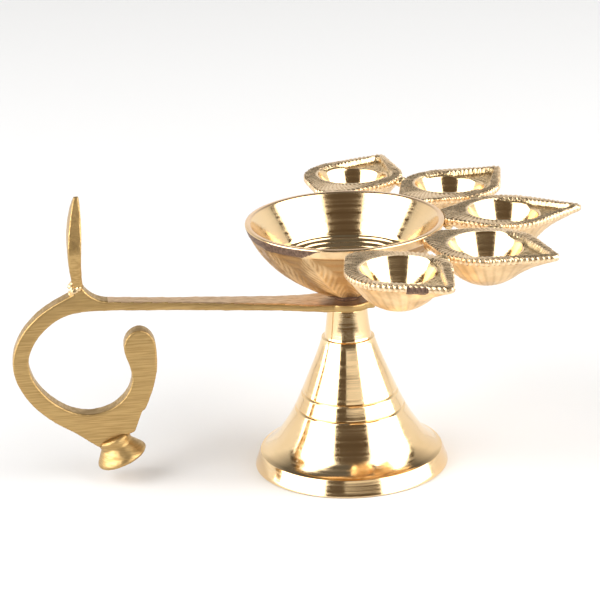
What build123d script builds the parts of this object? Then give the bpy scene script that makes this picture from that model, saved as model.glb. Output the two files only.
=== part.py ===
"""Five-wick brass hand lamp: a hollow turned foot, a cast handle with a finger loop, and a bowl with five leaf cups.

Units are millimetres. +Z is up, the foot stands on Z = 0 with its axis on Z, the handle runs along -X and the
middle cup points along +X. A stud in the bowl screws into the foot and clamps the handle's eye between them.
"""

import os
from math import cos, radians, sin

from build123d import *

# ---- driving dimensions ----
FOOT_RADIUS = 32.0
FOOT_BAND_RADIUS = 30.2
FOOT_BAND_HEIGHT = 5.3
FOOT_FLARE = [(25.2, 9.0), (19.8, 17.0), (15.6, 26.0), (11.1, 37.0)]
FOOT_SHOULDER = (8.7, 44.2)
FOOT_NECK_BASE = (7.7, 44.8)
FOOT_WALL = 2.2
FOOT_HEIGHT = 55.0
FOOT_NECK_RADIUS = 6.5
FOOT_GROOVES = [(25.4, 15.85), (20.4, 18.05)]
GROOVE_RADIUS = 0.35
CAVITY_TOP = 43.0

STUD_RADIUS = 3.0
STUD_BOTTOM = 45.5
STUD_TOP = 65.0
RUNNING_CLEARANCE = 0.05
EYE_CLEARANCE = 0.3

EYE_RADIUS = 8.5
EYE_THICKNESS = 2.6
BAR_THICKNESS = 6.0
ARM_HEIGHT = 3.0
ARM_START = (-78.0, 59.6)

LEAF_HALF_WIDTH = 8.0
LEAF_TIP_HEIGHT = 98.0
LEAF_ROOT = (-86.6, 68.0)

REST_RADIUS = 8.6
REST_NECK = 5.7
REST_TILT = 20.6
REST_TOP = (-78.6, 14.4)
REST_LENGTH = 7.6

BOWL_BOTTOM = FOOT_HEIGHT + EYE_THICKNESS
BOWL_RADIUS = 32.4
RIM_HEIGHT = 84.2
RIM_LAND = 1.9
BOSS_RADIUS = 4.2
BOSS_HEIGHT = 1.5
BOSS_OUTLINE = [
    (0, BOWL_BOTTOM),
    (BOSS_RADIUS, BOWL_BOTTOM),
    (BOSS_RADIUS, BOWL_BOTTOM + BOSS_HEIGHT),
    (6.6, BOWL_BOTTOM + BOSS_HEIGHT + 0.2),
]
BOWL_OUTSIDE = [(11.0, 61.4), (16.0, 64.1), (24.0, 70.4), (29.6, 77.4)]
BOWL_FLOOR_RADIUS = 22.0
BOWL_FLOOR_EDGE = 72.0
BOWL_FLOOR_CENTRE = 68.2

CUP_COUNT = 5
CUP_RING_RADIUS = 52.5
CUP_SPACING = 39.6
OUTER_LEAF_ANGLE = 59.0  # direction of the two outer leaves, turned in towards the middle one
TAIL_SHIFT = 0.35  # how far round the rim a turned leaf's tail moves, per degree it is turned
CUP_MOUTH_RADIUS = 12.5
CUP_FLOOR_RADIUS = 8.4
CUP_FLOOR = 74.2
CUP_BOTTOM = 70.8
CUP_EDGE = 2.3
CUP_OUTSIDE = [(5.5, 71.6), (10.4, 74.6), (14.0, 79.0)]
LEAF_CUP_RADIUS = 16.9
LEAF_CUP_TIP = (23.7, 1.8)
LEAF_CUP_TAIL = (-15.0, 7.5)
SPOUT_INSET = 4.3
SPOUT_DEPTH = 1.2

BRAZE_RADIUS = 2.6
BRAZE_HEIGHT = 2.4

os.makedirs("parts", exist_ok=True)


def save(part, name):
    """Labels a finished piece and writes it as one STEP file."""
    part.label = name
    export_step(part, f"parts/{name}.step")


def cup_angle(number):
    """Direction of a cup about the bowl, in degrees from +X; cup 3 is the middle one."""
    return (3 - number) * CUP_SPACING


def leaf_angle(number):
    """Direction a cup's leaf points in; the outer two are turned in towards the middle one."""
    return max(-OUTER_LEAF_ANGLE, min(OUTER_LEAF_ANGLE, cup_angle(number)))


# ---- foot: a hollow turned cone with a rim band, three grooves and a tapped neck ----
with BuildPart() as foot:
    with BuildSketch(Plane.XZ):
        with BuildLine():
            band = Polyline(
                (FOOT_RADIUS - FOOT_WALL, 0), (FOOT_RADIUS, 0), (FOOT_BAND_RADIUS, FOOT_BAND_HEIGHT)
            )
            flare = Spline(band @ 1, *FOOT_FLARE, FOOT_SHOULDER, tangents=((-1, 0.3), (-0.2, 1)))
            step = Line(flare @ 1, FOOT_NECK_BASE)
            neck = Spline(step @ 1, (6.95, 50.0), (FOOT_NECK_RADIUS, FOOT_HEIGHT), tangents=((-0.2, 1), (-0.06, 1)))
            Line(neck @ 1, (STUD_RADIUS + RUNNING_CLEARANCE, FOOT_HEIGHT))
            Line((STUD_RADIUS + RUNNING_CLEARANCE, FOOT_HEIGHT), (STUD_RADIUS + RUNNING_CLEARANCE, CAVITY_TOP))
            hollow = [(r - FOOT_WALL - 0.2, z) for r, z in FOOT_FLARE]
            Line((STUD_RADIUS + RUNNING_CLEARANCE, CAVITY_TOP), (hollow[-1][0] - 2.6, CAVITY_TOP))
            Spline(
                (hollow[-1][0] - 2.6, CAVITY_TOP),
                *reversed(hollow),
                (FOOT_RADIUS - 2 * FOOT_WALL - 1.0, 4.0),
                tangents=((0.25, -1), (1, -0.6)),
            )
            Line((FOOT_RADIUS - 2 * FOOT_WALL - 1.0, 4.0), band @ 0)
        make_face()
    revolve(axis=Axis.Z)
    for height, radius in FOOT_GROOVES:
        with BuildSketch(Plane.XZ):
            with Locations((radius, height)):
                Circle(GROOVE_RADIUS)
        revolve(axis=Axis.Z, mode=Mode.SUBTRACT)
save(foot.part, "foot_cone")

# ---- stud: a round rod at the thread's outside diameter, from the bowl's boss down into the neck ----
with BuildPart() as stud:
    with BuildSketch(Plane.XY.offset(STUD_BOTTOM)):
        Circle(STUD_RADIUS)
    extrude(amount=STUD_TOP - STUD_BOTTOM)
    chamfer(stud.edges().filter_by(GeomType.CIRCLE), length=0.6)
save(stud.part, "stud")

# ---- handle bar: side outline of eye, arm, finger loop and tail, trimmed to its plan outline ----
with BuildPart() as bar:
    with BuildSketch(Plane.XZ):
        with BuildLine():
            underside = Polyline(
                (EYE_RADIUS + 0.5, FOOT_HEIGHT), (-EYE_RADIUS, FOOT_HEIGHT), ARM_START
            )
            loop_inside = Spline(
                underside @ 1,
                (-93.0, 58.2),
                (-104.5, 44.5),
                (-98.4, 30.3),
                (-85.5, 24.3),
                (-74.6, 28.9),
                (-71.6, 35.6),
                (-72.5, 41.0),
                (-73.7, 46.4),
                (-71.6, 50.9),
                (-67.6, 52.1),
                (-64.1, 49.4),
                (-63.0, 43.0),
                (-64.2, 33.8),
                (-68.0, 24.4),
                (-71.6, 17.1),
                tangents=((-1, 0.02), (-0.4, -1)),
            )
            stump = Line(loop_inside @ 1, (-83.8, 12.5))
            loop_outside = Spline(
                stump @ 1,
                (-90.8, 17.8),
                (-96.8, 21.7),
                (-105.6, 30.4),
                (-109.9, 43.0),
                (-105.2, 54.9),
                (-94.1, 63.5),
                (-88.8, 66.0),
                tangents=((-1, 0.75), (1, 0.45)),
            )
            stub = Polyline(loop_outside @ 1, (-88.6, LEAF_ROOT[1]), (-85.5, LEAF_ROOT[1]))
            shoulder = Spline(
                stub @ 1, (-84.2, 65.9), (-81.6, 63.9), (-76.0, 62.6), tangents=((0.25, -1), (1, -0.08))
            )
            Polyline(
                shoulder @ 1,
                (-EYE_RADIUS - 3.0, FOOT_HEIGHT + EYE_THICKNESS),
                (EYE_RADIUS + 0.5, FOOT_HEIGHT + EYE_THICKNESS),
                underside @ 0,
            )
        make_face()
    extrude(amount=EYE_RADIUS + 1, both=True)
    with BuildSketch(Plane.XY):
        with BuildLine():
            Polyline(
                (-115, -BAR_THICKNESS / 2),
                (-60, -BAR_THICKNESS / 2),
                (-22, -4.6),
                (-7, -7.0),
                (EYE_RADIUS + 0.3, -5.4),
                (EYE_RADIUS + 0.3, 5.4),
                (-7, 7.0),
                (-22, 4.6),
                (-60, BAR_THICKNESS / 2),
                (-115, BAR_THICKNESS / 2),
                close=True,
            )
        make_face()
        Circle(EYE_RADIUS)
        Circle(STUD_RADIUS + EYE_CLEARANCE, mode=Mode.SUBTRACT)
    extrude(amount=120, mode=Mode.INTERSECT)
save(bar.part, "handle_bar")

# ---- thumb leaf: an upright pointed leaf, straight on the bowl side and swelling on the other ----
with BuildPart() as thumb_leaf:
    with BuildSketch(Plane.XZ):
        with BuildLine():
            front = Spline((-85.5, LEAF_ROOT[1]), (-85.8, 74.6), (-85.3, 84.3), (-85.1, LEAF_TIP_HEIGHT))
            tip = Line(front @ 1, (-86.9, LEAF_TIP_HEIGHT))
            back = Spline(tip @ 1, (-88.6, 91.5), (-89.9, 80.5), (-89.4, 72.0), (-88.6, LEAF_ROOT[1]))
            Line(back @ 1, front @ 0)
        make_face()
    extrude(amount=LEAF_HALF_WIDTH + 1, both=True)
    with BuildSketch(Plane.YZ.offset(LEAF_ROOT[0])):
        with BuildLine():
            side = Spline(
                (3.0, LEAF_ROOT[1]), (5.2, 72.5), (LEAF_HALF_WIDTH, 81.5), (5.4, 91.0), (0.7, LEAF_TIP_HEIGHT)
            )
            Line(side @ 1, (0, LEAF_TIP_HEIGHT))
            Line((0, LEAF_TIP_HEIGHT), (0, LEAF_ROOT[1]))
            Line((0, LEAF_ROOT[1]), side @ 0)
        make_face()
        mirror(about=Plane.YZ)
    extrude(amount=10, both=True, mode=Mode.INTERSECT)
    add(bar.part, mode=Mode.SUBTRACT)
save(thumb_leaf.part, "thumb_leaf")

# ---- rest foot: a flared button under the finger loop, square to the loop's cut face ----
with BuildPart() as button:
    with BuildSketch(Plane.XZ):
        with BuildLine():
            Polyline(
                (0, 1.2),
                (REST_NECK - 0.8, 1.2),
                (REST_NECK, 0.4),
                (REST_NECK - 0.3, -2.0),
                (REST_RADIUS - 0.5, 1.9 - REST_LENGTH),
                (REST_RADIUS, 0.9 - REST_LENGTH),
                (REST_RADIUS - 0.5, -REST_LENGTH),
                (0, -REST_LENGTH),
                close=True,
            )
        make_face()
    revolve(axis=Axis.Z)

with BuildPart() as rest_foot:
    add(button.part.moved(Location((REST_TOP[0], 0, REST_TOP[1]), (0, -REST_TILT, 0))))
    add(bar.part, mode=Mode.SUBTRACT)
save(rest_foot.part, "rest_foot")

# ---- bowl: a cast shell, turned inside, with a boss that takes the stud ----
with BuildPart() as bowl:
    with BuildSketch(Plane.XZ):
        with BuildLine():
            base = Polyline(*BOSS_OUTLINE)
            outside = Spline(
                base @ 1, *BOWL_OUTSIDE, (BOWL_RADIUS, RIM_HEIGHT - 0.7), tangents=((1, 0.35), (0.35, 1))
            )
            land = Polyline(
                outside @ 1,
                (BOWL_RADIUS - 0.4, RIM_HEIGHT),
                (BOWL_RADIUS - RIM_LAND, RIM_HEIGHT),
                (BOWL_FLOOR_RADIUS, BOWL_FLOOR_EDGE),
            )
            floor = Spline(land @ 1, (0, BOWL_FLOOR_CENTRE), tangents=((-1, -0.45), (-1, 0)))
            Line(floor @ 1, base @ 0)
        make_face()
    revolve(axis=Axis.Z)
    with BuildSketch(Plane.XY.offset(BOWL_BOTTOM)):
        Circle(STUD_RADIUS + RUNNING_CLEARANCE)
    extrude(amount=STUD_TOP - BOWL_BOTTOM + 0.1, mode=Mode.SUBTRACT)
save(bowl.part, "bowl")

# a solid plug with the bowl's outer shape, to fit the cups against
with BuildPart() as bowl_plug:
    with BuildSketch(Plane.XZ):
        with BuildLine():
            shape = Polyline(*BOSS_OUTLINE)
            skin = Spline(
                shape @ 1, *BOWL_OUTSIDE, (BOWL_RADIUS, RIM_HEIGHT - 0.7), tangents=((1, 0.35), (0.35, 1))
            )
            Polyline(skin @ 1, (BOWL_RADIUS, RIM_HEIGHT + 3), (0, RIM_HEIGHT + 3), shape @ 0)
        make_face()
    revolve(axis=Axis.Z)


def leaf_outline(inset=0.0):
    """Hull of the leaf's round middle, its pointed tip and its tail towards the bowl."""
    CenterArc((0, 0), LEAF_CUP_RADIUS - inset, 0, 360)
    CenterArc((LEAF_CUP_TIP[0] - 1.4 * inset, 0), max(LEAF_CUP_TIP[1] - inset, 0.4), 0, 360)
    CenterArc((LEAF_CUP_TAIL[0] + inset, 0), max(LEAF_CUP_TAIL[1] - inset, 0.4), 0, 360)


# ---- leaf cups: a leaf-shaped edge on a round cup, with a shallow spout to the tip ----
cups = []
for number in range(1, CUP_COUNT + 1):
    turn = radians(cup_angle(number))
    centre = Location(
        (CUP_RING_RADIUS * cos(turn), CUP_RING_RADIUS * sin(turn), 0), (0, 0, leaf_angle(number))
    )
    with BuildPart() as cup:
        with BuildSketch(Plane.XY.offset(RIM_HEIGHT - CUP_EDGE)):
            with BuildLine():
                leaf_outline()
            make_hull()
        extrude(amount=CUP_EDGE)
        with BuildSketch(Plane.XZ):
            with BuildLine():
                bottom = Line((0, CUP_BOTTOM), (1.5, CUP_BOTTOM))
                swell = Spline(
                    bottom @ 1, *CUP_OUTSIDE, (15.6, RIM_HEIGHT - CUP_EDGE), tangents=((1, 0), (0.25, 1))
                )
                Polyline(swell @ 1, (0, RIM_HEIGHT - CUP_EDGE), bottom @ 0)
            make_face()
        revolve(axis=Axis.Z)
        with BuildSketch(Plane.XY.offset(RIM_HEIGHT)):
            with BuildLine():
                leaf_outline(SPOUT_INSET)
            make_hull()
        extrude(amount=-SPOUT_DEPTH, mode=Mode.SUBTRACT)
        with BuildSketch(Plane.XZ):
            with BuildLine():
                Polyline(
                    (0, CUP_FLOOR),
                    (CUP_FLOOR_RADIUS - 1.5, CUP_FLOOR),
                    (CUP_FLOOR_RADIUS, CUP_FLOOR + 0.9),
                    (CUP_MOUTH_RADIUS, RIM_HEIGHT + 0.1),
                    (0, RIM_HEIGHT + 0.1),
                    close=True,
                )
            make_face()
        revolve(axis=Axis.Z, mode=Mode.SUBTRACT)
        add(centre.inverse() * bowl_plug.part, mode=Mode.SUBTRACT)
    placed = cup.part.moved(centre)
    cups.append(placed)
    save(placed, f"cup_{number}")

# ---- braze: lumps that join each cup to the bowl, each cup to the next, and the leaf to the bar ----
with BuildPart() as cup_braze:
    for number in range(1, CUP_COUNT + 1):
        turn = radians(cup_angle(number) + TAIL_SHIFT * (cup_angle(number) - leaf_angle(number)))
        with Locations((BOWL_RADIUS * cos(turn), BOWL_RADIUS * sin(turn), RIM_HEIGHT - CUP_EDGE - BRAZE_HEIGHT)):
            Cylinder(BRAZE_RADIUS, BRAZE_HEIGHT, align=(Align.CENTER, Align.CENTER, Align.MIN))
    reach = CUP_RING_RADIUS * cos(radians(CUP_SPACING / 2))
    for number in range(1, CUP_COUNT):
        turn = radians((cup_angle(number) + cup_angle(number + 1)) / 2)
        with Locations((reach * cos(turn), reach * sin(turn), RIM_HEIGHT - CUP_EDGE)):
            Cylinder(BRAZE_RADIUS, CUP_EDGE - 0.3, align=(Align.CENTER, Align.CENTER, Align.MIN))
    add(bowl_plug.part, mode=Mode.SUBTRACT)
    for piece in cups:
        add(piece, mode=Mode.SUBTRACT)
save(cup_braze.part, "cup_braze")

with BuildPart() as leaf_braze:
    with Locations((-89.4, 0, 67.4)):
        Sphere(2.6)
    add(bar.part, mode=Mode.SUBTRACT)
    add(thumb_leaf.part, mode=Mode.SUBTRACT)
save(leaf_braze.part, "leaf_braze")
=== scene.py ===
# %% [markdown]
# # A five-wick brass hand lamp
#
# The lamp is a turned foot, a turned and cast bowl with five leaf-shaped wick cups brazed to it, and a cast
# handle that ends in a finger loop. This lesson starts from the measured frame, builds each piece with the
# detail that a founder, a turner and a chaser leave on the metal, and then finishes and lights them.

# %% Load the frame
import math

import bpy
from mathutils import Matrix, Vector, noise


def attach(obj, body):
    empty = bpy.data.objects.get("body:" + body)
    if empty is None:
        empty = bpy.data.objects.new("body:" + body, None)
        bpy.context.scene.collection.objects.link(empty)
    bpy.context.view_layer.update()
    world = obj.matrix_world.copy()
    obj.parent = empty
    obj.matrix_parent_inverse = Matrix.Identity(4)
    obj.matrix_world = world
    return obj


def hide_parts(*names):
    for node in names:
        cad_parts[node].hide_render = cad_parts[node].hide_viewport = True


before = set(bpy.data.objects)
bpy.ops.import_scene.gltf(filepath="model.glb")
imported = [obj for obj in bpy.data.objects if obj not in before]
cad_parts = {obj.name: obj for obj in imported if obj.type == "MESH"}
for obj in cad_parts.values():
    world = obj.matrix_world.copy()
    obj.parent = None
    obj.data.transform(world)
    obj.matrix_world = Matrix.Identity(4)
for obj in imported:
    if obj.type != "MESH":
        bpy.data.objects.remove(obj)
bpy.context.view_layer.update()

MM = 0.001

# %% [markdown]
# ## Camera
#
# A product picture of a small lamp is taken with a long lens from a little above the table. A long lens keeps
# the cups in proportion, so the camera stands almost a metre away. Its matrix is built from the direction it
# looks from, and then rolled slightly about its own axis.

# %% Camera
AZIMUTH, ELEVATION, ROLL = math.radians(-6.09), math.radians(19.257), math.radians(-2.079)
AIM = Vector((-15.39, 0.0, 57.74)) * MM
DISTANCE = 887.0 * MM

back = Vector((
    math.sin(AZIMUTH) * math.cos(ELEVATION), -math.cos(AZIMUTH) * math.cos(ELEVATION), math.sin(ELEVATION)
))
side = Vector((0, 0, 1)).cross(back).normalized()
upward = back.cross(side)
camera = bpy.data.objects.new("camera", bpy.data.cameras.new("camera"))
bpy.context.scene.collection.objects.link(camera)
turned_side = side * math.cos(ROLL) + upward * math.sin(ROLL)
turned_up = upward * math.cos(ROLL) - side * math.sin(ROLL)
camera.matrix_world = Matrix((turned_side, turned_up, back)).transposed().to_4x4()
camera.location = AIM + back * DISTANCE
camera.data.sensor_width = 36.0
camera.data.lens = 163.2
bpy.context.scene.camera = camera
print("camera at", [round(v, 3) for v in camera.location])

# %% [markdown]
# ## Working helpers
#
# Everything round on this lamp came off a lathe, so one helper does what the lathe does: it draws half a
# section, point by point, and spins it. Drawing with extrude keeps the order of the points, which a boolean or
# a modifier would not. A second helper runs a smooth line through a few points, so that a section needs only
# the points that shape it.

# %% Helpers for turned work


def flowing(points, per_span=8):
    """A smooth line through the points, with per_span steps between each pair."""
    padded = [points[0], *points, points[-1]]
    line = []
    for a, b, c, d in zip(padded, padded[1:], padded[2:], padded[3:]):
        for step in range(per_span):
            t = step / per_span
            line.append(tuple(
                0.5 * (2 * q + (r - p) * t + (2 * p - 5 * q + 4 * r - s) * t * t
                       + (3 * q - p - 3 * r + s) * t ** 3)
                for p, q, r, s in zip(a, b, c, d)
            ))
    return [*line, points[-1]]


def straight(a, b, steps):
    """Points along the line from a up to, and not including, b."""
    return [tuple(p + (q - p) * i / steps for p, q in zip(a, b)) for i in range(steps)]


def select_only(piece):
    """Leaves one object selected and active."""
    bpy.ops.object.select_all(action="DESELECT")
    piece.select_set(True)
    bpy.context.view_layer.objects.active = piece


def turned(name, section, steps):
    """Spins a section of (radius, height) points in millimetres about Z, and records both in a UV map."""
    bpy.ops.object.select_all(action="DESELECT")
    bpy.ops.mesh.primitive_plane_add(size=MM, location=(section[0][0] * MM, 0, section[0][1] * MM))
    piece = bpy.context.object
    piece.name = piece.data.name = name
    bpy.ops.object.transform_apply(location=True)
    bpy.ops.object.mode_set(mode="EDIT")
    bpy.ops.mesh.select_all(action="SELECT")
    bpy.ops.mesh.merge(type="CENTER")
    for (r0, z0), (r1, z1) in zip(section, section[1:]):
        move = ((r1 - r0) * MM, 0, (z1 - z0) * MM)
        bpy.ops.mesh.extrude_region_move(TRANSFORM_OT_translate={"value": move})
    bpy.ops.mesh.select_all(action="SELECT")
    bpy.ops.mesh.spin(steps=steps, angle=math.tau, center=(0, 0, 0), axis=(0, 0, 1))
    bpy.ops.mesh.select_all(action="SELECT")
    bpy.ops.mesh.remove_doubles(threshold=0.004 * MM)
    bpy.ops.mesh.normals_make_consistent(inside=False)
    bpy.ops.object.mode_set(mode="OBJECT")
    lathe = piece.data.uv_layers.get("UVMap") or piece.data.uv_layers.new(name="UVMap")
    for loop in piece.data.loops:
        x, y, z = piece.data.vertices[loop.vertex_index].co / MM
        lathe.data[loop.index].uv = (math.hypot(x, y), z)
    return piece


def keep(piece, body, slot, *nodes):
    """Fixes a finished piece to its body and hides the frame's parts that it stands for."""
    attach(piece, body)
    if nodes:
        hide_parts(*nodes)
    print(piece.name, len(piece.data.polygons), "faces")


def smooth(piece, angle=35):
    """Rounds the shading over every edge flatter than the angle."""
    select_only(piece)
    bpy.ops.object.shade_smooth_by_angle(angle=math.radians(angle))


# %% [markdown]
# ## Brass, four ways
#
# One alloy is on show with four surfaces. The turner's tool leaves a near mirror with hair-fine rings. The sand
# mould leaves a soft grain, which the founder then rubs on a belt. The chaser's punch leaves bright facets. The
# file leaves a dark flat where a sprue was cut away. Each is a metal shader with its own colour, roughness and
# bump, because the rings, the grain and the file marks are far finer than a mesh could carry.

# %% Material helpers


def new_metal(name, colour, roughness):
    """A metal with one colour and roughness, ready for its texture nodes."""
    material = bpy.data.materials.new(name)
    material.use_nodes = True
    shader = material.node_tree.nodes["Principled BSDF"]
    shader.inputs["Base Color"].default_value = (*colour, 1)
    shader.inputs["Metallic"].default_value = 1.0
    shader.inputs["Roughness"].default_value = roughness
    return material, material.node_tree, shader


def add_node(tree, kind, **values):
    """Adds a node and sets its inputs by name, or its properties where it has no such input."""
    node = tree.nodes.new(kind)
    for key, value in values.items():
        if key in node.inputs:
            node.inputs[key].default_value = value
        else:
            setattr(node, key, value)
    return node


def noise_on(tree, coordinates, stretch, scale, detail=3.0):
    """Noise on a stretched copy of the coordinates."""
    mapping = add_node(tree, "ShaderNodeMapping", Scale=stretch)
    tree.links.new(coordinates, mapping.inputs["Vector"])
    texture = add_node(tree, "ShaderNodeTexNoise", Scale=scale, Detail=detail)
    tree.links.new(mapping.outputs["Vector"], texture.inputs["Vector"])
    return texture.outputs["Fac"]


def spread(tree, value, low, high, low_to, high_to):
    """Maps a value from one range to another, clamped."""
    node = tree.nodes.new("ShaderNodeMapRange")
    for socket, number in zip(node.inputs[1:5], (low, high, low_to, high_to)):
        socket.default_value = number
    tree.links.new(value, node.inputs[0])
    return node.outputs[0]


def bumps(tree, shader, *heights):
    """Chains bump nodes, each a (height, distance in millimetres, strength), into the shader's normal."""
    normal = None
    for height, distance, strength in heights:
        node = add_node(tree, "ShaderNodeBump", Distance=distance * MM, Strength=strength)
        tree.links.new(height, node.inputs["Height"])
        if normal:
            tree.links.new(normal, node.inputs["Normal"])
        normal = node.outputs["Normal"]
    tree.links.new(normal, shader.inputs["Normal"])


def two_tone(tree, shader, value, first, second):
    """Colours the metal between two tones by a value from 0 to 1."""
    mix = tree.nodes.new("ShaderNodeMix")
    mix.data_type = "RGBA"
    mix.inputs["A"].default_value, mix.inputs["B"].default_value = (*first, 1), (*second, 1)
    tree.links.new(value, mix.inputs["Factor"])
    tree.links.new(mix.outputs["Result"], shader.inputs["Base Color"])


def with_hollows(tree, value):
    """Adds the piece's own record of its hollows, where dirt stays and, under the bowl's seat, painted shade,
    to a value.
    """
    record = add_node(tree, "ShaderNodeAttribute", attribute_name="hollow")
    total = add_node(tree, "ShaderNodeMath", operation="ADD", use_clamp=True)
    tree.links.new(record.outputs["Fac"], total.inputs[0])
    tree.links.new(value, total.inputs[1])
    return total.outputs[0]


# %% Turned mirror brass
BRASS = (0.92, 0.69, 0.40)
BRASS_DEEP = (0.86, 0.61, 0.33)
BRASS_PINK = (0.90, 0.64, 0.40)


def turned_brass(name, ring_strength, roughness, light=BRASS, deep=BRASS_DEEP):
    """Bright turned brass: hair-fine rings follow the radius and height held in the UV map."""
    material, tree, shader = new_metal(name, light, roughness)
    uv = add_node(tree, "ShaderNodeTexCoord").outputs["UV"]
    rings = noise_on(tree, uv, (1, 1, 1), 5.0, 2.0)
    lines = noise_on(tree, uv, (1, 1, 1), 1.9, 3.0)
    streaks = noise_on(tree, uv, (1, 1, 1), 0.9, 2.0)
    place = add_node(tree, "ShaderNodeTexCoord").outputs["Object"]
    clouds = noise_on(tree, place, (1, 1, 1), 60.0, 3.0)
    tree.links.new(
        spread(tree, streaks, 0.35, 0.65, roughness * 0.6, roughness * 1.6), shader.inputs["Roughness"]
    )
    two_tone(tree, shader, spread(tree, clouds, 0.35, 0.65, 0, 1), light, deep)
    bumps(tree, shader, (rings, 0.02, ring_strength), (lines, 0.05, ring_strength * 2.5), (clouds, 0.1, 0.12))
    return material


mirror_brass = turned_brass("mirror_brass", 0.11, 0.12)
ringed_brass = turned_brass("ringed_brass", 0.36, 0.19)
rim_brass = turned_brass("rim_brass", 0.10, 0.16, BRASS_PINK, (0.80, 0.54, 0.30))

# %% Cast, rubbed brass
CAST_LIGHT = (0.54, 0.36, 0.15)
CAST_DARK = (0.43, 0.28, 0.11)
# The lighter tone for the handle's top faces: a painted highlight where the light falls on the top.
LIT_TOP = (0.92, 0.66, 0.42)


def cast_brass(name, scratch_stretch, light=CAST_LIGHT, dark=CAST_DARK, grain=0.30, worn=False):
    """Sand-cast brass: mould grain under fine belt scratches or, where worn, with stains in the hollows."""
    material, tree, shader = new_metal(name, light, 0.36)
    place = add_node(tree, "ShaderNodeTexCoord").outputs["Object"]
    scratches = noise_on(tree, place, scratch_stretch, 1.0, 3.0)
    sand = noise_on(tree, place, (1, 1, 1), 2600.0, 3.0)
    if worn:
        stains = noise_on(tree, place, (1, 1, 1), 140.0, 4.0)
        tone = with_hollows(tree, spread(tree, stains, 0.38, 0.66, 0, 0.5))
    else:
        tone = spread(tree, scratches, 0.38, 0.62, 0, 1)
    two_tone(tree, shader, tone, light, dark)
    tree.links.new(spread(tree, scratches, 0.3, 0.7, 0.32, 0.52), shader.inputs["Roughness"])
    bumps(tree, shader, (sand, 0.10, grain), (scratches, 0.08, 0.45))
    return material


handle_brass = cast_brass("handle_brass", (110, 400, 2300))
# A lighter copy of the handle brass, for the painted highlight on the handle's top, with a smoother finish.
lit_top_brass = cast_brass("lit_top_brass", (300, 3000, 3000), LIT_TOP, (0.66, 0.44, 0.24), 0.15)
leaf_brass = cast_brass("leaf_brass", (600, 3000, 900))
relief_brass = cast_brass("relief_brass", (900, 900, 900), (0.96, 0.71, 0.41), (0.44, 0.26, 0.11), 0.22, True)

# %% Chased edges, trough, filed flats and braze


def chased_brass(name, light, dark, glitter):
    """Punched brass: bright facets, darker where dirt stays in the hollows."""
    material, tree, shader = new_metal(name, light, 0.24)
    place = add_node(tree, "ShaderNodeTexCoord").outputs["Object"]
    facets = noise_on(tree, place, (1, 1, 1), 1500.0, 2.0)
    dirt = noise_on(tree, place, (1, 1, 1), 420.0, 3.0)
    two_tone(tree, shader, with_hollows(tree, spread(tree, dirt, 0.45, 0.72, 0, 0.4)), light, dark)
    tree.links.new(spread(tree, facets, 0.3, 0.7, 0.20, 0.42), shader.inputs["Roughness"])
    bumps(tree, shader, (facets, 0.14, glitter))
    return material


def filed_brass(name):
    """A filed flat gone brown: parallel strokes across it."""
    material, tree, shader = new_metal(name, (0.26, 0.17, 0.12), 0.55)
    place = add_node(tree, "ShaderNodeTexCoord").outputs["Object"]
    strokes = noise_on(tree, place, (2400, 2400, 220), 1.0, 2.0)
    two_tone(tree, shader, spread(tree, strokes, 0.35, 0.65, 0, 1), (0.30, 0.20, 0.14), (0.13, 0.08, 0.06))
    bumps(tree, shader, (strokes, 0.10, 0.6))
    return material


chased = chased_brass("chased_brass", (0.99, 0.77, 0.49), (0.70, 0.46, 0.24), 0.65)
stippled = chased_brass("stippled_brass", (0.98, 0.75, 0.42), (0.64, 0.42, 0.19), 0.9)
braze_metal = chased_brass("braze_metal", (0.80, 0.60, 0.34), (0.50, 0.32, 0.14), 0.35)
# The bowl's seat over the handle's eye also takes this dark brass, as painted shade.
filed = filed_brass("filed_brass")
print("materials:", len(bpy.data.materials))

# %% [markdown]
# ## Foot
#
# The foot is a hollow casting turned all over: a sharp rim band, a long flare with two cut grooves, a stepped
# shoulder, and a narrow neck. Its section is one closed line, outside and inside, so that one spin makes the
# whole shell with its true wall.

# %% Foot
GROOVE_DEPTH, GROOVE_HALF = 0.45, 0.42


def with_grooves(line, heights):
    """Cuts a V into a rising line of (radius, height) points at each height."""
    def radius_at(z):
        for (r0, z0), (r1, z1) in zip(line, line[1:]):
            if z0 <= z <= z1:
                return r0 + (r1 - r0) * (z - z0) / (z1 - z0)
        return line[-1][0]

    kept = [p for p in line if all(abs(p[1] - h) > 1.6 * GROOVE_HALF for h in heights)]
    for h in heights:
        for dz, cut in ((-1.5, 0.0), (-1.0, 0.03), (0.0, 1.0), (1.0, 0.03), (1.5, 0.0)):
            z = h + dz * GROOVE_HALF
            kept.append((radius_at(z) - cut * GROOVE_DEPTH, z))
    return sorted(kept, key=lambda p: p[1])


flare = flowing(
    [(30.15, 5.3), (28.4, 6.1), (25.2, 9.0), (22.3, 13.0), (19.8, 17.0), (17.7, 21.2), (15.6, 26.0),
     (13.4, 31.4), (11.1, 37.0), (9.2, 42.4), (8.75, 44.1)], 6
)
outer = [
    *straight((30.2, 0.0), (31.8, 0.0), 2), (31.8, 0.0), (31.97, 0.15), *straight((31.9, 0.6), (30.25, 5.1), 6),
    (30.25, 5.1), *with_grooves(flare, (20.4, 25.4)), (8.7, 44.3), (7.85, 44.45), (7.7, 44.8),
    *flowing([(7.62, 45.3), (7.2, 48.0), (6.85, 51.0), (6.55, 54.6)], 6), (6.4, 54.95),
]
inner = [
    (3.05, 55.0), (3.05, 43.0),
    *flowing([(5.0, 43.0), (7.2, 41.0), (9.0, 36.4), (13.2, 26.0), (17.4, 17.0), (22.8, 9.0), (26.4, 4.6)], 6),
    (29.7, 0.6), (29.9, 0.0), (30.2, 0.0),
]
foot = turned("foot_shell", [*outer, *inner], 224)
foot.data.materials.append(mirror_brass)
smooth(foot, 32)
keep(foot, "foot", "turned_brass", "foot_cone")

# %% [markdown]
# ## Stud
#
# A threaded rod joins the bowl to the foot through the handle's eye. It shows only when the bowl is unscrewed.
# The thread is a wave that climbs by its pitch in one turn, laid on a turned rod with enough rings to carry it.

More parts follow.
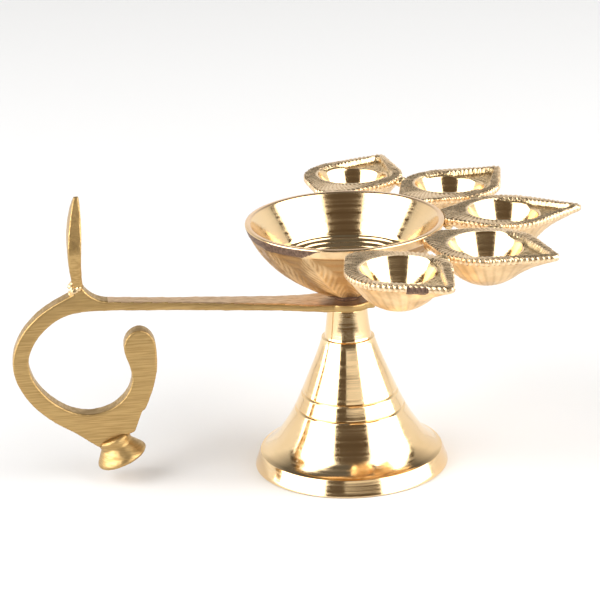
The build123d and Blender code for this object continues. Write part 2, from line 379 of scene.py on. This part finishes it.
# %% Stud
STUD_RADIUS, PITCH, THREAD_DEPTH = 2.98, 1.0, 0.45
THREAD_LOW, THREAD_HIGH = 46.4, 64.2
stud_section = [
    (0.0, 45.5), (2.2, 45.5), *straight((STUD_RADIUS, 46.2), (STUD_RADIUS, 64.4), 150), (2.3, 65.0), (0.0, 65.0)
]
stud = turned("threaded_stud", stud_section, 48)
for vertex in stud.data.vertices:
    x, y, z = vertex.co / MM
    reach = math.hypot(x, y)
    if reach > 2.5 and THREAD_LOW < z < THREAD_HIGH:
        climb = (z / PITCH - math.atan2(y, x) / math.tau) % 1.0
        cut = THREAD_DEPTH * abs(2 * climb - 1)
        vertex.co.x *= (reach - cut) / reach
        vertex.co.y *= (reach - cut) / reach
stud.data.materials.append(ringed_brass)
smooth(stud, 40)
keep(stud, "screw", "turned_brass", "stud")

# %% [markdown]
# ## Bowl
#
# Outside, the bowl keeps its cast relief: twelve tall petals that lean a little, each with a midrib and curved
# veins. Inside it is turned: a bright cone, an edge, and a shallow dish with six cut rings. The relief is a
# height drawn over the turned skin, because each petal flows round the bowl and into its neighbour. The seat
# over the handle's eye is painted dark with the filed brass, as painted shade for the recess between the bowl
# and the eye, and a filed band runs along a quarter of the rim.

# %% Bowl
PETALS, PETAL_LEAN = 12, 0.55
RELIEF_LOW, RELIEF_HIGH = 59.2, 81.2
DISH_RINGS, RING_DEPTH, RING_HALF = (21.0, 19.2, 17.0, 14.6, 11.6, 7.4), 0.36, 0.32
# Below this height the bowl's outside takes the dark filed brass: painted shade for the recess over the
# handle's eye.
SHADED_SEAT_TOP = 60.8
BAND_MIDDLE, BAND_HALF, BAND_FADE, BAND_LOW = 211, 39, 13, 80.7
OUTSIDE, DARK, DISH, RIM = range(1, 5)


def petal_relief(turn, rise):
    """Depth in millimetres below the skin at an angle and a height fraction from 0 to 1."""
    across = (turn * PETALS / math.tau + PETAL_LEAN * rise) % 1.0 - 0.5
    half = 0.50 * max(math.sin(math.pi * min(1.0, 0.12 + 0.88 * rise)), 0.0) ** 0.55 + 0.001
    inside = abs(across) / half
    if inside > 1.0:
        return 0.75 - 0.12 * math.cos(8 * math.tau * rise)
    crown = 0.10 + 0.62 * inside ** 2.6
    vein = 0.5 + 0.5 * math.cos(math.tau * (rise * 10.0 - 3.4 * inside))
    midrib = max(0.0, 1.0 - inside * 7.0)
    return crown + 0.30 * vein * (1.0 - midrib) * min(1.0, 2.5 * (1.0 - inside)) - 0.10 * midrib


bowl_outside = flowing(
    [(6.6, 59.3), (8.6, 60.1), (12.0, 61.95), (16.0, 64.15), (20.0, 66.95), (24.0, 70.4), (28.0, 75.1),
     (30.9, 80.0), (32.3, 83.5)], 12
)
dish = []
for point in flowing([(22.0, 71.8), (20.0, 70.9), (15.0, 69.3), (8.0, 68.45), (0.0, 68.2)], 20):
    cut = sum(math.exp(-((point[0] - ring) / RING_HALF) ** 2) for ring in DISH_RINGS)
    dish.append((point[0], point[1] - RING_DEPTH * cut))
bowl_section = [
    (0.0, 65.1), (3.05, 65.1), (3.05, 57.65), (3.2, 57.6), (4.15, 57.62), (4.2, 57.8), (4.2, 58.9),
    (4.5, 59.12), *bowl_outside,
    (32.36, 83.8), (32.2, 84.1), (31.9, 84.2), (31.2, 84.2), (30.7, 84.15), (30.45, 83.9),
    *straight((30.3, 83.7), (22.3, 72.4), 16), (22.1, 72.1), *dish,
]
bowl = turned("bowl_body", bowl_section, 420)
hollow = bowl.data.attributes.new("hollow", "FLOAT", "POINT")
for vertex in bowl.data.vertices:
    x, y, z = vertex.co / MM
    reach = math.hypot(x, y)
    # Under the seat the bowl's underside is marked fully hollow, as painted shade for the recess over the
    # handle's eye.
    if z < 59.6:
        hollow.data[vertex.index].value = 1.0
    skin = next((a[0] for a, b in zip(bowl_outside, bowl_outside[1:]) if a[1] <= z < b[1]), None)
    if skin is None or abs(reach - skin) > 1.2 or not RELIEF_LOW < z < RELIEF_HIGH:
        continue
    rise = (z - RELIEF_LOW) / (RELIEF_HIGH - RELIEF_LOW)
    fade = min(1.0, rise / 0.08, (1.0 - rise) / 0.06)
    depth = fade * petal_relief(math.atan2(y, x), rise)
    vertex.co += Vector((-x / reach, -y / reach, 0.55)) * depth * MM * 0.85
    hollow.data[vertex.index].value = min(1.0, max(0.0, (depth - 0.10) * 1.7))
for material in (mirror_brass, relief_brass, filed, ringed_brass, rim_brass):
    bowl.data.materials.append(material)
for face in bowl.data.polygons:
    x, y, z = face.center / MM
    outward = face.normal.x * x + face.normal.y * y
    turn = math.degrees(math.atan2(y, x)) % 360
    if outward > 0 and z < 83.9 or z < 58.6:
        from_middle = abs(turn - BAND_MIDDLE)
        band = BAND_LOW + 0.35 * math.sin(turn * 0.11) + 0.15 * math.sin(turn * 0.31)
        band += 2.9 * max(0, (from_middle - BAND_HALF + BAND_FADE) / BAND_FADE)
        # Faces below the seat height get the dark filed brass as painted shade; those above the wavy band line
        # are the filed band.
        is_dark = z < SHADED_SEAT_TOP or from_middle < BAND_HALF and z > band
        face.material_index = DARK if is_dark else OUTSIDE
    elif face.normal.z > 0.8 and z < 72.2:
        face.material_index = DISH
    elif face.normal.z > 0.5 and z > 83.9:
        face.material_index = RIM
smooth(bowl, 50)
keep(bowl, "top", "turned_brass", "bowl")

# %% [markdown]
# ## Leaf cups
#
# Each cup is cast as a leaf: a round well, a wide edge with a pointed tip, and a stippled spout where the wick
# lies. A round saucer is spun first, and its edge is then drawn out to the leaf's outline, so that the mesh
# stays in clean rings. Punched notches run round the edge at an even pitch. The outline is the hull of three
# circles, found by asking how far it lies in each direction.

# %% Leaf outline
LEAF = ((0.0, 16.9), (23.7, 1.8), (-15.0, 7.5))
MOUTH, SAUCER = 11.9, 16.9
CUP_RING, CUP_SPACING = 52.5, math.radians(39.6)
EDGE_TOP, EDGE_BOTTOM = 84.2, 81.9
NOTCH_PITCH, EDGE_WIDTH, SPOUT_DEPTH = 1.75, 3.3, 1.9
NOTCH_SINK, NOTCH_LIFT, NOTCH_BITE = 0.17, 0.20, 0.19
RIBS, RIB_HEIGHT = 30, 0.07
WELL, EDGE, SPOUT, SKIN, FLAT = range(5)
RIM_RADIUS = 32.35


def hull_reach(turn):
    """Distance from the cup's axis to the leaf's outline, in millimetres."""
    reach = LEAF[0][1]
    for far, radius in LEAF[1:]:
        lean = math.acos((LEAF[0][1] - radius) / abs(far))
        face = turn if far > 0 else math.pi - turn
        face = abs((face + math.pi) % math.tau - math.pi)
        if face < lean:
            flank = LEAF[0][1] / math.cos(lean - face)
            along = abs(far) * math.cos(face)
            off = abs(far) * math.sin(face)
            tip = along + math.sqrt(radius ** 2 - off ** 2) if off < radius else 0.0
            on_flank = math.sin(lean - face) * flank
            reach = flank if on_flank <= math.sqrt(far ** 2 - (LEAF[0][1] - radius) ** 2) or not tip else tip
    return reach


def rim_reach(turn):
    """Distance from a cup's axis to the bowl's rim, by the angle from straight outward."""
    off = CUP_RING * math.sin(turn)
    if math.cos(turn) > 0 or abs(off) > RIM_RADIUS:
        return 100.0
    return -CUP_RING * math.cos(turn) - math.sqrt(RIM_RADIUS ** 2 - off ** 2)


SPIN = 480
reach_at = [hull_reach(math.tau * i / SPIN) for i in range(SPIN)]
walked = [0.0]
for i in range(SPIN):
    a, b = reach_at[i], reach_at[(i + 1) % SPIN]
    walked.append(walked[-1] + math.sqrt(a * a + b * b - 2 * a * b * math.cos(math.tau / SPIN)))
notches = round(walked[-1] / NOTCH_PITCH)
print("outline", round(walked[-1], 1), "mm, notches", notches)

# %% Cup shape


def step_between(low, high, value):
    """Eases from 0 at low to 1 at high."""
    t = min(1.0, max(0.0, (value - low) / (high - low)))
    return t * t * (3 - 2 * t)


def shape_leaf(piece, seed):
    """Draws the saucer's edge out to the leaf, cuts the spout, and punches the notches."""
    hollow = piece.data.attributes.new("hollow", "FLOAT", "POINT")
    for vertex in piece.data.vertices:
        x, y, z = vertex.co / MM
        ring = math.hypot(x, y)
        if ring < 1e-6:
            continue
        turn = math.atan2(y, x) % math.tau
        index = turn / math.tau * SPIN
        low = int(index) % SPIN
        part = index - int(index)
        reach = reach_at[low] * (1 - part) + reach_at[(low + 1) % SPIN] * part
        along = (walked[low] * (1 - part) + walked[low + 1] * part) / walked[-1]
        top = z > 83.0 and ring > MOUTH - 0.01
        bore = not top and piece.data.attributes["inside"].data[vertex.index].value > 0.5
        new_ring = ring
        if top:
            new_ring = MOUTH + (ring - MOUTH) * (reach - MOUTH) / (SAUCER - MOUTH)
        elif not bore and ring > 6.0:
            ease = step_between(9.0, SAUCER, ring) ** 1.6
            new_ring = ring + (reach - SAUCER) * ease * ring / SAUCER
        drop = 0.0
        room = step_between(0.3, 2.6, reach - EDGE_WIDTH - MOUTH)
        front = step_between(-0.1, 0.25, math.cos(turn))
        if room > 0 and (top or bore):
            inner_edge = max(reach - EDGE_WIDTH, MOUTH + 0.4)
            bank = 1 - step_between(inner_edge - 1.3, inner_edge + 0.2, new_ring)
            drop = SPOUT_DEPTH * room * front * bank
            if bore:
                drop = min(drop, max(0.0, z - (EDGE_TOP - SPOUT_DEPTH * room * front)))
            if top and drop > 0.5:
                spot = Vector((x, y, seed * 7.0)) * 1.6
                pits = 0.20 * noise.noise(spot) + 0.12 * noise.noise(spot * 2.3)
                drop += pits
                hollow.data[vertex.index].value = min(1.0, max(0.0, 0.35 + 3.0 * pits))
        outer = step_between(MOUTH + 0.3, MOUTH + 1.4, new_ring) if top else 0.0
        wave = math.cos(math.tau * (along * notches + 0.30 * (reach - new_ring)))
        uneven = 0.6 + 0.4 * noise.noise(Vector((along * 40, seed * 3.0, new_ring * 0.2)))
        lift = 0.0
        if top and drop < 0.5:
            crown = step_between(0.0, 1.2, reach - new_ring)
            lift = (-NOTCH_SINK + NOTCH_LIFT * wave * uneven) * outer - 0.25 * (1 - crown)
            hollow.data[vertex.index].value = outer * min(1.0, max(0.0, 0.25 - 0.6 * wave * uneven))
        if not bore and ring > SAUCER - 0.6 and z > EDGE_BOTTOM - 0.6:
            new_ring += NOTCH_BITE * wave * uneven - 0.16
            hollow.data[vertex.index].value = min(1.0, max(0.0, 0.30 - 0.6 * wave * uneven))
        if not bore and not top and z < EDGE_BOTTOM:
            ribs = math.cos(turn * RIBS + 0.35 * ring)
            lift = RIB_HEIGHT * ribs * step_between(3.0, 8.0, ring) * (1 - step_between(80.5, 81.9, z))
            hollow.data[vertex.index].value = max(0.0, -3.0 * lift)
        shrink = new_ring / ring
        vertex.co = Vector((x * shrink, y * shrink, z - drop + lift)) * MM


cup_under = flowing([(1.5, 70.85), (5.5, 71.7), (10.2, 74.6), (13.7, 78.8), (15.7, 81.2), (16.6, 81.9)], 7)
cup_top = [(16.9, 82.3), (16.9, 83.0), (16.9, 83.6), *straight((16.8, 84.1), (12.0, 84.15), 20), (11.95, 84.1)]
cup_well = [(11.9, 83.95), *straight((11.82, 83.8), (8.1, 75.2), 16), (7.95, 74.9), (7.6, 74.5),
            *flowing([(7.1, 74.3), (4.0, 74.15), (0.0, 74.1)], 5)]


def spun_leaf():
    """The one cup that the others are copied from, on its own axis."""
    piece = turned("leaf_cup", [(0.0, 70.85), *cup_under, *cup_top, *cup_well], SPIN)
    inside = piece.data.attributes.new("inside", "FLOAT", "POINT")
    for vertex in piece.data.vertices:
        x, y, z = vertex.co / MM
        ring = math.hypot(x, y)
        is_inside = ring < MOUTH + 0.02 and z > 74.0 and ring < 8.1 + (z - 75.2) * 0.44 + 0.3
        inside.data[vertex.index].value = 1.0 if is_inside else 0.0
    for face in piece.data.polygons:
        if all(inside.data[v].value > 0.5 for v in face.vertices):
            face.material_index = WELL
        elif face.center.z / MM > EDGE_BOTTOM:
            face.material_index = EDGE
        else:
            face.material_index = SKIN
    shape_leaf(piece, 1)
    for material in (mirror_brass, chased, stippled, relief_brass, filed):
        piece.data.materials.append(material)
    for face in piece.data.polygons:
        x, y, z = face.center / MM
        if face.material_index == EDGE and face.normal.z > 0.2 and z < EDGE_TOP - 0.9 and x > 0:
            face.material_index = SPOUT
    smooth(piece, 55)
    return piece


# %% Five cups
FILED_CUP, FILED_LOW, FILED_FROM, FILED_TO = 5, 80.9, 328, 346
OUTER_LEAF = math.radians(59.0)


def cup_angle(number):
    """Direction of a cup about the bowl; cup 3 is the middle one."""
    return (3 - number) * CUP_SPACING


def leaf_angle(number):
    """Direction its leaf points in: the outer two are turned in towards the middle one."""
    return max(-OUTER_LEAF, min(OUTER_LEAF, cup_angle(number)))


def place_cup(number):
    """A copy of the cup with its own slight unevenness, in its place and with its tail cut to the rim."""
    twist = leaf_angle(number) - cup_angle(number)
    piece = bpy.data.objects.new(f"leaf_cup_{number}", master.data.copy())
    piece.data.name = piece.name
    bpy.context.scene.collection.objects.link(piece)
    for vertex in piece.data.vertices:
        x, y, z = vertex.co / MM
        ring, turn = math.hypot(x, y), math.atan2(y, x)
        if ring > MOUTH + 0.1:
            vertex.co.z += 0.12 * MM * noise.noise(Vector((x, y, number * 9.0)) * 0.35)
            rim, whole = rim_reach(turn + twist), hull_reach(turn)
            if rim < whole:
                cut = (MOUTH + (ring - MOUTH) * (rim - MOUTH) / (whole - MOUTH)) / ring
                vertex.co.x, vertex.co.y = x * cut * MM, y * cut * MM
    for face in piece.data.polygons:
        x, y, z = face.center / MM
        turn = math.degrees(math.atan2(y, x)) % 360
        if number == FILED_CUP and face.normal.z < 0.5 and z > FILED_LOW and FILED_FROM < turn < FILED_TO:
            face.material_index = FLAT
    piece.data.transform(Matrix.Rotation(twist, 4, "Z"))
    piece.data.transform(Matrix.Translation((CUP_RING * MM, 0, 0)))
    piece.data.transform(Matrix.Rotation(cup_angle(number), 4, "Z"))
    return piece


master = spun_leaf()
for number in range(1, 6):
    keep(place_cup(number), "top", "cast_brass", f"cup_{number}")
bpy.data.objects.remove(master)

# %% [markdown]
# ## Handle
#
# The handle is one flat casting, rubbed on a belt, so its edges are soft and its faces a little uneven. The
# frame's own outline is kept: a copy is skinned again with small even faces, its edges are relaxed, and a slow
# waviness is laid over it, as sand leaves it.

# %% Cast pieces


def skinned(piece, voxel, rounds):
    """Skins the active piece again with small even faces, and relaxes them."""
    skin = piece.modifiers.new("skin", "REMESH")
    skin.mode, skin.voxel_size = "VOXEL", voxel * MM
    bpy.ops.object.modifier_apply(modifier="skin")
    relax = piece.modifiers.new("relax", "SMOOTH")
    relax.factor, relax.iterations = 0.5, rounds
    bpy.ops.object.modifier_apply(modifier="relax")


def as_cast(name, node, voxel, rounds, wave):
    """A copy of a CAD node with relaxed edges and a slightly wavy skin."""
    piece = bpy.data.objects.new(name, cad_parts[node].data.copy())
    piece.data.name = name
    piece.data.materials.clear()
    bpy.context.scene.collection.objects.link(piece)
    select_only(piece)
    bpy.ops.object.mode_set(mode="EDIT")
    bpy.ops.mesh.select_all(action="SELECT")
    bpy.ops.mesh.remove_doubles(threshold=0.002 * MM)
    bpy.ops.object.mode_set(mode="OBJECT")
    skinned(piece, voxel, rounds)
    normals = [v.normal.copy() for v in piece.data.vertices]
    for vertex, normal in zip(piece.data.vertices, normals):
        slow = noise.noise(vertex.co / MM * 0.22) + 0.5 * noise.noise(vertex.co / MM * 0.6)
        vertex.co += normal * (wave * MM * (slow - 0.6))
    bpy.ops.object.shade_smooth()
    return piece


handle = as_cast("handle_casting", "handle_bar", 0.42, 8, 0.08)
handle.data.materials.append(handle_brass)
handle.data.materials.append(lit_top_brass)
# Faces turned upward on the arm take the lighter brass: a painted highlight where the light falls on the top,
# over a smoother finish.
LIT_TOP_FROM, LIT_TOP_LOW = -78.0, 55.0
for face in handle.data.polygons:
    x, y, z = face.center / MM
    if face.normal.z > 0.8 and x > LIT_TOP_FROM and z > LIT_TOP_LOW:
        face.material_index = 1
keep(handle, "handle", "cast_brass", "handle_bar")

# %% Thumb leaf
leaf = as_cast("thumb_leaf_casting", "thumb_leaf", 0.36, 4, 0.08)
leaf.data.materials.append(leaf_brass)
keep(leaf, "handle", "cast_brass", "thumb_leaf")

# %% Rest foot
button = as_cast("rest_button", "rest_foot", 0.34, 3, 0.10)
button.data.materials.append(handle_brass)
keep(button, "handle", "cast_brass", "rest_foot")

# %% [markdown]
# ## Braze
#
# Where two castings meet, the brazing brass ran in and froze in low, shiny lumps. Each lump is two or three
# small balls joined and skinned as one, which gives the soft, uneven shape of metal that has flowed.

# %% Braze beads


def beads(name, balls):
    """Balls of (x, y, z, radius), in millimetres, run together into lumps."""
    parts = []
    bpy.ops.object.select_all(action="DESELECT")
    for x, y, z, radius in balls:
        place = (x * MM, y * MM, z * MM)
        bpy.ops.mesh.primitive_ico_sphere_add(subdivisions=3, radius=radius * MM, location=place)
        bpy.ops.object.transform_apply(location=True)
        parts.append(bpy.context.object)
    bpy.ops.object.select_all(action="DESELECT")
    for part in parts:
        part.select_set(True)
    bpy.context.view_layer.objects.active = parts[0]
    bpy.ops.object.join()
    piece = bpy.context.object
    piece.name = piece.data.name = name
    skinned(piece, 0.22, 4)
    normals = [v.normal.copy() for v in piece.data.vertices]
    for vertex, normal in zip(piece.data.vertices, normals):
        vertex.co += normal * (0.22 * MM * noise.noise(vertex.co / MM * 1.1))
    bpy.ops.object.shade_smooth()
    piece.data.materials.append(braze_metal)
    return piece


leaf_bead = beads("leaf_bead", [
    (-88.3, 0, 68.6, 1.5), (-88.7, 1.4, 67.3, 1.7), (-88.6, -1.7, 67.2, 1.7), (-89.0, -1.2, 66.0, 1.5),
    (-87.0, -2.5, 68.0, 1.1),
])
keep(leaf_bead, "handle", "braze_metal", "leaf_braze")

TAIL_SHIFT, BEAD_RING = 0.35, 33.6
cup_balls = []
for number in range(1, 6):
    turn = cup_angle(number) * (1 + TAIL_SHIFT) - leaf_angle(number) * TAIL_SHIFT
    for swing, size in ((-0.09, 1.7), (0.0, 2.1), (0.09, 1.6)):
        at = turn + swing
        cup_balls.append((BEAD_RING * math.cos(at), BEAD_RING * math.sin(at), 81.0, size))
for number in range(1, 5):
    turn = (2.5 - number) * CUP_SPACING
    for reach, size in ((47.8, 1.3), (49.6, 1.6), (51.2, 1.2)):
        cup_balls.append((reach * math.cos(turn), reach * math.sin(turn), 82.6, size))
cup_bead = beads("cup_beads", cup_balls)
keep(cup_bead, "top", "braze_metal", "cup_braze")

# %% [markdown]
# ## Studio
#
# Polished brass shows the room more than itself. Two wide soft boxes stand left and right of the camera, and
# the darker room between them gives the brown stripe down every turned surface. That room is made of cards that
# only reflections see: a tall dark one, a dark table top before it, a low bright window that lights the foot's
# rim band, and two narrow flags that edge the metal. The floor is plain and pale.

# %% Floor
bpy.ops.object.select_all(action="DESELECT")
bpy.ops.mesh.primitive_plane_add(size=6.0, location=(0, 0, -0.0002))
floor = bpy.context.object
floor.name = "floor"
white = bpy.data.materials.new("floor_white")
white.use_nodes = True
paper = white.node_tree.nodes["Principled BSDF"]
paper.inputs["Base Color"].default_value = (0.80, 0.80, 0.80, 1)
paper.inputs["Roughness"].default_value = 0.9
floor.data.materials.append(white)
print("floor:", tuple(round(v, 2) for v in floor.dimensions))

# %% Soft boxes
BOX_DISTANCE, BOX_HEIGHT, BOX_WIDTH, BOX_TALL, BOX_POWER = 1.15, 1.11, 1.62, 2.2, 41


def around_lamp(bearing, distance, height):
    """A place by its bearing in degrees from the camera's own, and the turn that faces it to the lamp."""
    around = AZIMUTH + math.radians(bearing)
    return Vector((distance * math.sin(around), -distance * math.cos(around), height)), around


for name, bearing in (("soft_box_left", -69), ("soft_box_right", 69)):
    light = bpy.data.lights.new(name, "AREA")
    light.shape, light.size, light.size_y = "RECTANGLE", BOX_WIDTH, BOX_TALL
    light.energy = BOX_POWER
    box = bpy.data.objects.new(name, light)
    bpy.context.scene.collection.objects.link(box)
    box.location, around = around_lamp(bearing, BOX_DISTANCE, BOX_HEIGHT)
    box.rotation_euler = (math.radians(90), 0, around)
    box.visible_camera = False
    print(name, "at", bearing, "degrees")

# %% Cards that only reflections see


def glow(name, colour):
    """An even glow for a card, which nothing else lights."""
    material = bpy.data.materials.new(name)
    material.use_nodes = True
    tree = material.node_tree
    tree.nodes.remove(tree.nodes["Principled BSDF"])
    light = add_node(tree, "ShaderNodeEmission", Color=(*colour, 1))
    tree.links.new(light.outputs[0], tree.nodes["Material Output"].inputs["Surface"])
    return material


dark_room = glow("dark_room", (0.11, 0.085, 0.06))
bright_room = glow("bright_room", (1.0, 0.96, 0.90))


def card(name, bearing, distance, height, width, tall, upright=True, paint=dark_room):
    """A card, upright or lying down, placed by its bearing, distance and height in metres."""
    bpy.ops.object.select_all(action="DESELECT")
    bpy.ops.mesh.primitive_plane_add(size=1.0)
    board = bpy.context.object
    board.name = name
    place, around = around_lamp(bearing, distance, height)
    turn = Matrix.Rotation(around, 4, "Z") @ Matrix.Rotation(math.radians(90 if upright else 0), 4, "X")
    board.data.transform(Matrix.Translation(place) @ turn @ Matrix.Diagonal((width, tall, 1, 1)))
    board.data.materials.append(paint)
    board.visible_camera = board.visible_diffuse = board.visible_shadow = False


card("room_between", 0, 1.25, 1.15, 1.55, 2.4)
card("dark_table", 0, 0.62, 0.001, 0.75, 0.8, upright=False)
card("low_window", 9, 1.2, 0.49, 1.05, 0.22, paint=bright_room)
card("flag_left", -109, 1.1, 1.25, 0.13, 1.5)
card("flag_right", 109, 1.1, 1.25, 0.13, 1.5)
print("cards: room, table, window and two flags")

# %% Sky
SKY_LOW, SKY_HIGH = 1.0, 0.13
world = bpy.context.scene.world or bpy.data.worlds.new("world")
bpy.context.scene.world = world
world.use_nodes = True
sky = world.node_tree
sky.nodes["Background"].inputs["Color"].default_value = (1.0, 0.98, 0.95, 1)
rise = sky.nodes.new("ShaderNodeSeparateXYZ")
sky.links.new(sky.nodes.new("ShaderNodeTexCoord").outputs["Generated"], rise.inputs[0])
fade = spread(sky, rise.outputs["Z"], 0.35, 0.70, SKY_LOW, SKY_HIGH)
sky.links.new(fade, sky.nodes["Background"].inputs["Strength"])
bpy.context.scene.view_settings.view_transform = "Standard"
